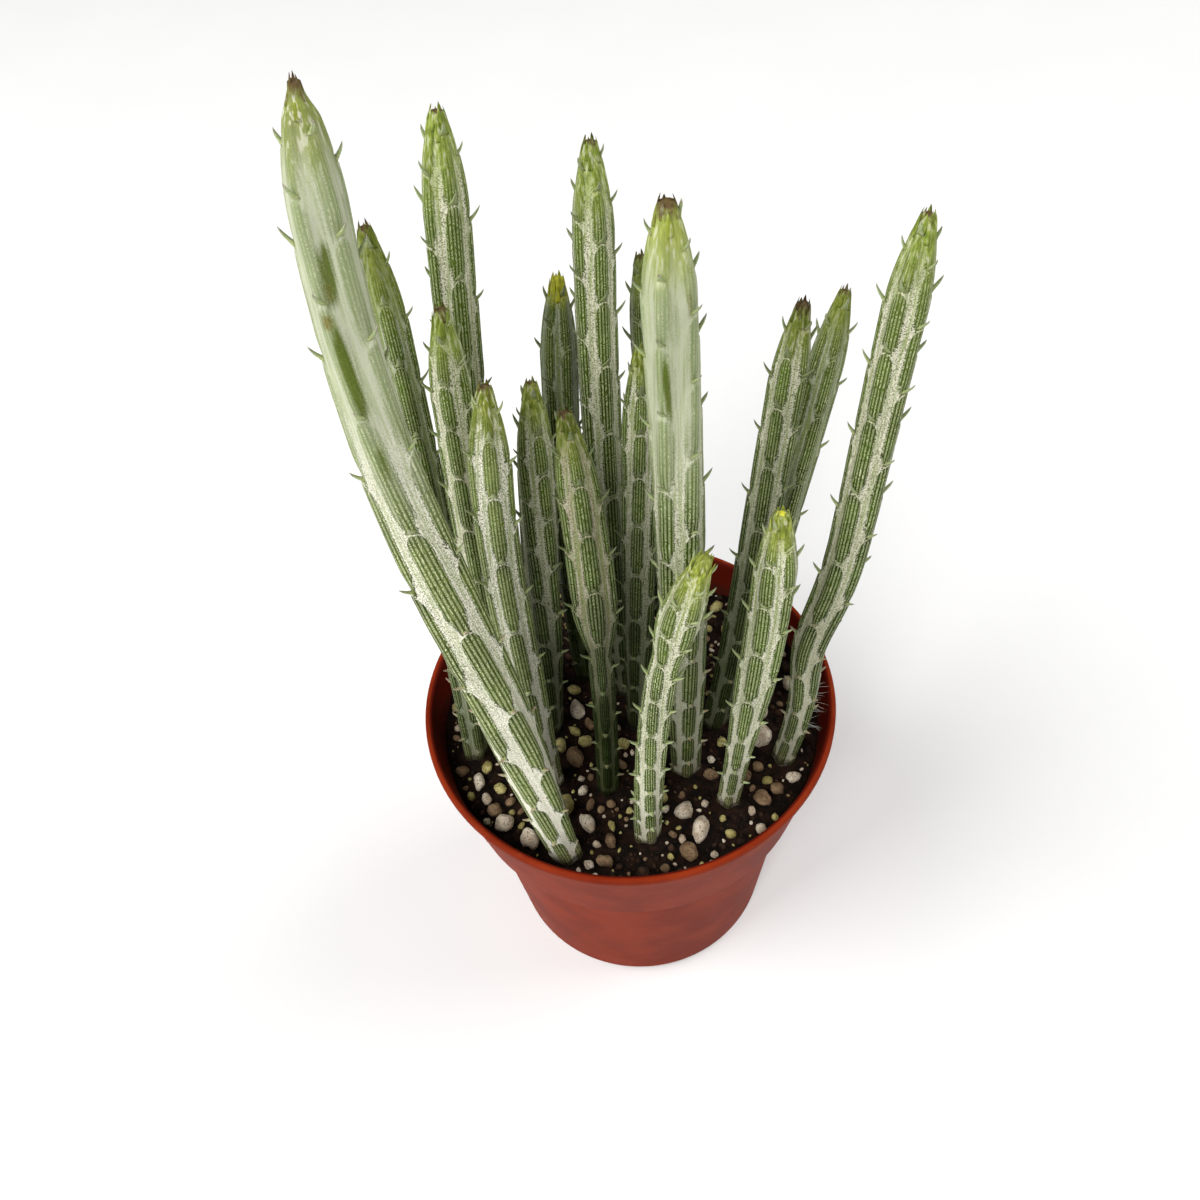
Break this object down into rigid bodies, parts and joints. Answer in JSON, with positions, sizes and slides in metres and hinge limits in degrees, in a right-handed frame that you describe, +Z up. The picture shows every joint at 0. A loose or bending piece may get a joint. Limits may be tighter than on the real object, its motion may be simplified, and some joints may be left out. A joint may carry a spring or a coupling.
{
  "type": "potted succulent plant",
  "caption": "Round terracotta-coloured nursery pot of dark gritty soil with upright, ribbed, knobbly succulent stems that carry small pointed leaves.",
  "frame": {"origin": "centre of the pot's flat underside", "axes": "+Z up along the pot's axis; the side seen in the picture faces -Y, with +X to the picture's right"},
  "size_m": [0.1072, 0.1, 0.253],
  "materials": {
    "pot": "semi-gloss moulded plastic",
    "soil": "loose, rough, matte",
    "stem": "smooth waxy skin"
  },
  "bodies": {
    "root": {"pot": "pot", "soil": "soil", "stem_left_leaning": "stem", "stem_left_behind": "stem", "stem_back_left_tall": "stem", "stem_back_left_short": "stem", "stem_front_left": "stem", "stem_middle_left": "stem", "stem_back_yellow_tip": "stem", "stem_back_tall": "stem", "stem_middle_necked": "stem", "stem_back_hidden": "stem", "stem_middle_slim": "stem", "stem_pale_tall": "stem", "stem_front_short": "stem", "stem_right_middle": "stem", "stem_right_back": "stem", "stem_right_short": "stem", "stem_right_leaning": "stem"}
  },
  "joints": []
}
